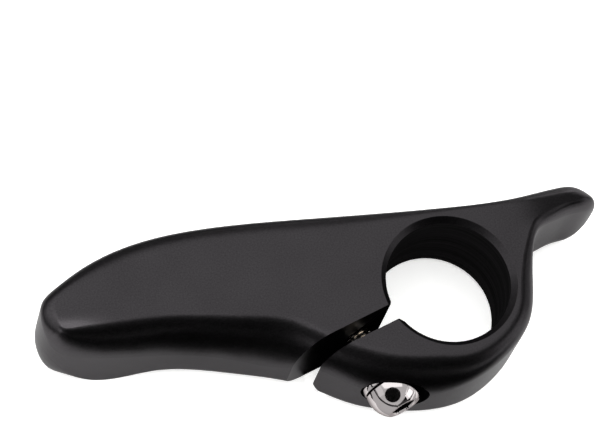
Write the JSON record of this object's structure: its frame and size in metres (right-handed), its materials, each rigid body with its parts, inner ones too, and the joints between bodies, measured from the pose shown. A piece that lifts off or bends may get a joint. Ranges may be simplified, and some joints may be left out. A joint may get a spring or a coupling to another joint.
{
  "type": "bar end",
  "caption": "Short winged bar end for a bicycle handlebar: a split ring clamps on the bar's end, a broad wing is the hand hold and a small rest takes the thumb.",
  "frame": {"origin": "centre of the handlebar bore, halfway along it", "axes": "+Z along the bore towards the face that carries the rounded edges, -X along the wing, -Y towards the clamp bolt's head"},
  "size_m": [0.1021, 0.0372, 0.0181],
  "materials": {
    "body": "fine-blasted and black anodised, satin",
    "clamp_bolt": "polished and chromed",
    "washer": "polished and chromed"
  },
  "bodies": {
    "root": {"body": "body", "clamp_bolt": "clamp_bolt", "washer": "washer"}
  },
  "joints": []
}
